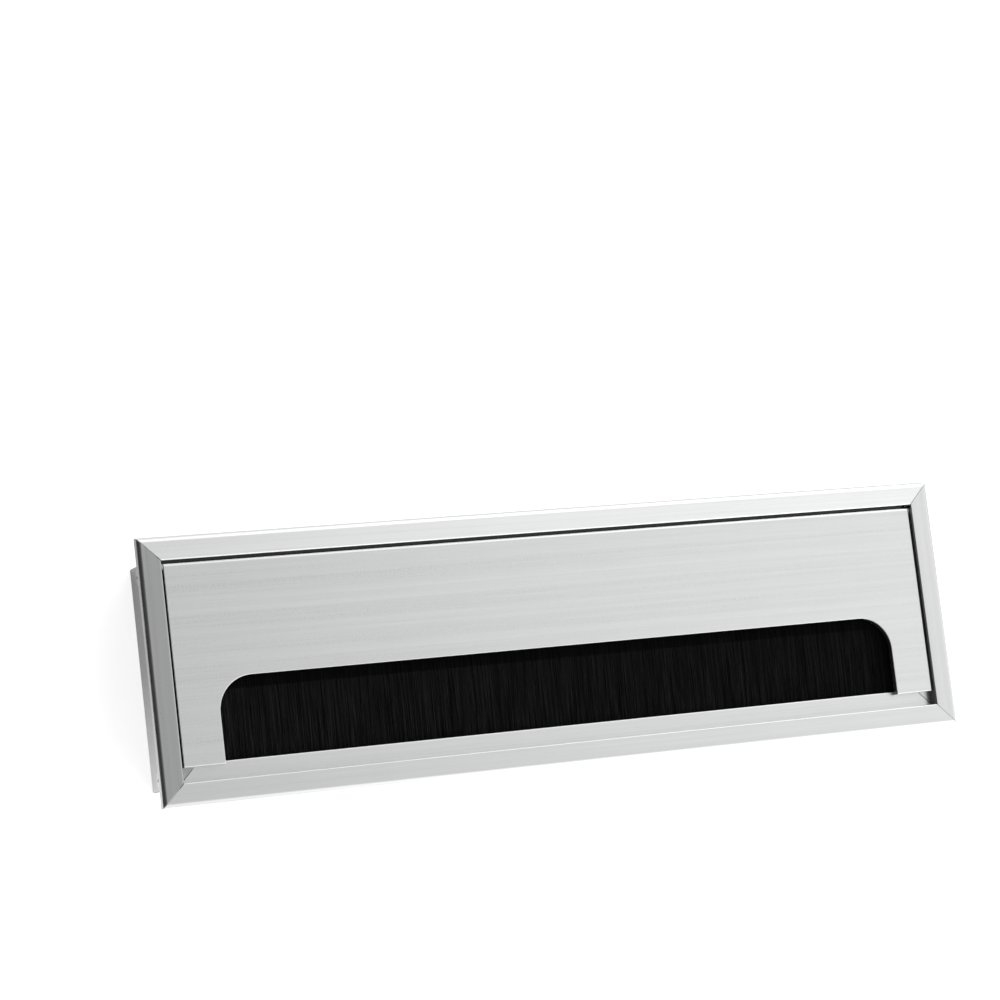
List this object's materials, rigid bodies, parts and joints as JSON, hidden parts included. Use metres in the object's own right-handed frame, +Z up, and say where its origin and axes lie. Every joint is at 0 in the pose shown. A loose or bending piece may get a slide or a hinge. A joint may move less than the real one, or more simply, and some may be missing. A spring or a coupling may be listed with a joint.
{
  "type": "desk grommet",
  "caption": "Rectangular aluminium desk grommet: mitred flange and skirt, hinged lid with a wide cable notch, and a black strip brush that closes the notch.",
  "frame": {"origin": "centre of the desk cut-out in the plane of the desk's top surface, which is the flange's underside", "axes": "+X along the grommet, +Y towards the hinge side, +Z up out of the desk"},
  "size_m": [0.269, 0.08, 0.03],
  "materials": {
    "frame_aluminium": "satin anodised, fine streaks along each extrusion",
    "lid_aluminium": "satin anodised, fine streaks along the lid",
    "plated_steel": "zinc plated",
    "galvanised_steel": "galvanised sheet and wire",
    "black_nylon": "black nylon filament",
    "natural_nylon": "natural nylon"
  },
  "bodies": {
    "frame": {"front_profile": "frame_aluminium", "rear_profile": "frame_aluminium", "left_profile": "frame_aluminium", "right_profile": "frame_aluminium", "corner_screw_front_left": "plated_steel", "corner_screw_rear_left": "plated_steel", "corner_screw_front_right": "plated_steel", "corner_screw_rear_right": "plated_steel", "corner_key_front_left": "plated_steel", "corner_key_rear_left": "plated_steel", "corner_key_front_right": "plated_steel", "corner_key_rear_right": "plated_steel"},
    "lid": {"lid_plate": "lid_aluminium", "brush_channel": "galvanised_steel", "brush_core_wire": "galvanised_steel", "brush_bristles": "black_nylon", "hinge_pin_left": "plated_steel", "hinge_pin_right": "plated_steel", "hinge_washer_left": "natural_nylon", "hinge_washer_right": "natural_nylon"}
  },
  "joints": [
    {"name": "lid_hinge", "type": "hinge", "parent": "frame", "child": "lid", "pos_m": [0, 0.03098, -0.00025], "axis": [-1, 0, 0], "range_deg": [0, 105]}
  ]
}
